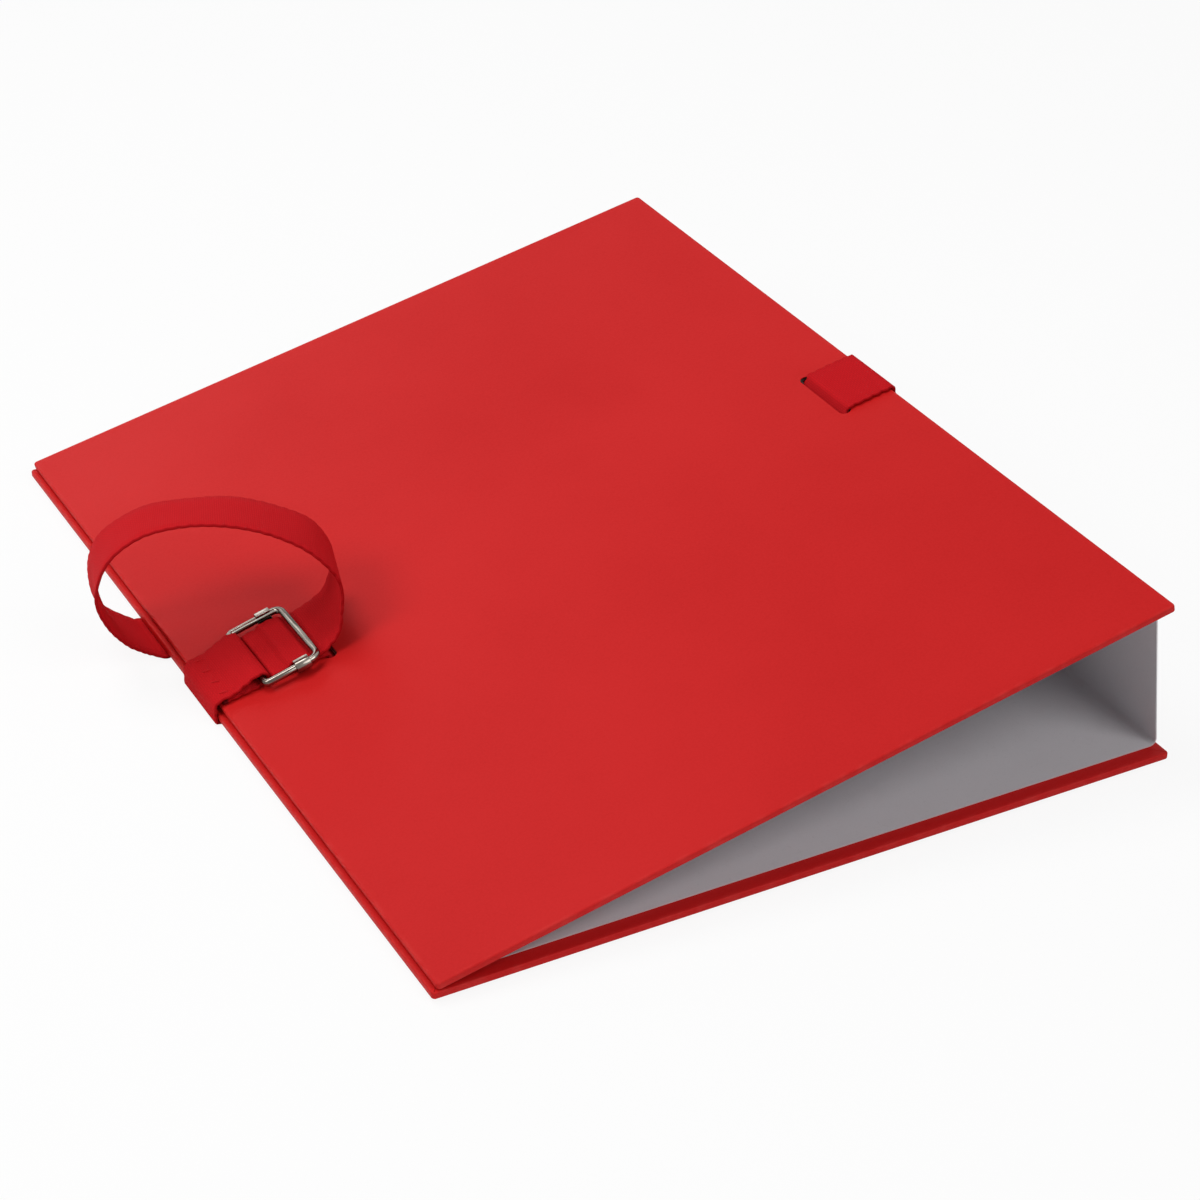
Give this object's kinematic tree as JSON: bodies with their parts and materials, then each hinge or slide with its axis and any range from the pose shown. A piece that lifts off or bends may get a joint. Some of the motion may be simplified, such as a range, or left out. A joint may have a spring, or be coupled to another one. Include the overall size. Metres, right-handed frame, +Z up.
{
  "type": "strap document file",
  "caption": "Expanding document file: two stiff covers joined by a folding spine, closed by a webbing strap with a wire buckle and slide.",
  "frame": {"origin": "centre of the back cover's outer face", "axes": "+X from the opening edge to the spine, +Y along the spine, +Z up from the back cover to the front cover"},
  "size_m": [0.2663, 0.32, 0.0585],
  "materials": {
    "grey_board": "raw grey board",
    "red_covering": "red coated covering, satin, fine grain",
    "grey_sheet": "light grey card, matt",
    "red_webbing": "red woven webbing",
    "red_thread": "red sewing thread",
    "nickel_plate": "nickel-plated steel, bright"
  },
  "bodies": {
    "back_cover": {"back_board": "grey_board", "back_covering": "red_covering", "back_lining": "grey_sheet", "spine_lower_crease": "grey_sheet", "strap_back_run": "red_webbing"},
    "spine": {"spine_panel": "grey_sheet", "strap_spine_lower": "red_webbing", "strap_spine_upper": "red_webbing"},
    "front_cover": {"front_board": "grey_board", "front_covering": "red_covering", "front_lining": "grey_sheet", "spine_upper_crease": "grey_sheet", "strap_front_run": "red_webbing", "strap_tail": "red_webbing"},
    "buckle_strap": {"strap_buckle_end": "red_webbing", "buckle_seam": "red_thread"},
    "buckle_frame": {"buckle_frame": "nickel_plate"},
    "buckle_slide": {"buckle_slide": "nickel_plate"}
  },
  "joints": [
    {"name": "spine_fold", "type": "hinge", "parent": "back_cover", "child": "spine", "pos_m": [0.11828, 0, 0.0031], "axis": [0, 1, 0], "range_deg": [0, 96.3], "deforming": ["spine_lower_crease", "strap_spine_lower"]},
    {"name": "cover_fold", "type": "hinge", "parent": "spine", "child": "front_cover", "pos_m": [0.11303, 0, 0.05076], "axis": [0, 1, 0], "range_deg": [0, 95.64], "deforming": ["spine_upper_crease", "strap_spine_upper"]},
    {"name": "buckle_strap_swing", "type": "hinge", "parent": "front_cover", "child": "buckle_strap", "pos_m": [-0.11981, 0.002, 0.00547], "axis": [0, -1, 0], "range_deg": [0, 150], "deforming": ["strap_buckle_end", "strap_tail"]},
    {"name": "frame_swing", "type": "hinge", "parent": "buckle_strap", "child": "buckle_frame", "pos_m": [-0.10515, 0.002, 0.01056], "axis": [0, -1, 0], "range_deg": [0, 150]},
    {"name": "slide_travel", "type": "slide", "parent": "buckle_frame", "child": "buckle_slide", "axis": [0.961, 0, 0.2765], "range_m": [-0.006, 0]}
  ]
}
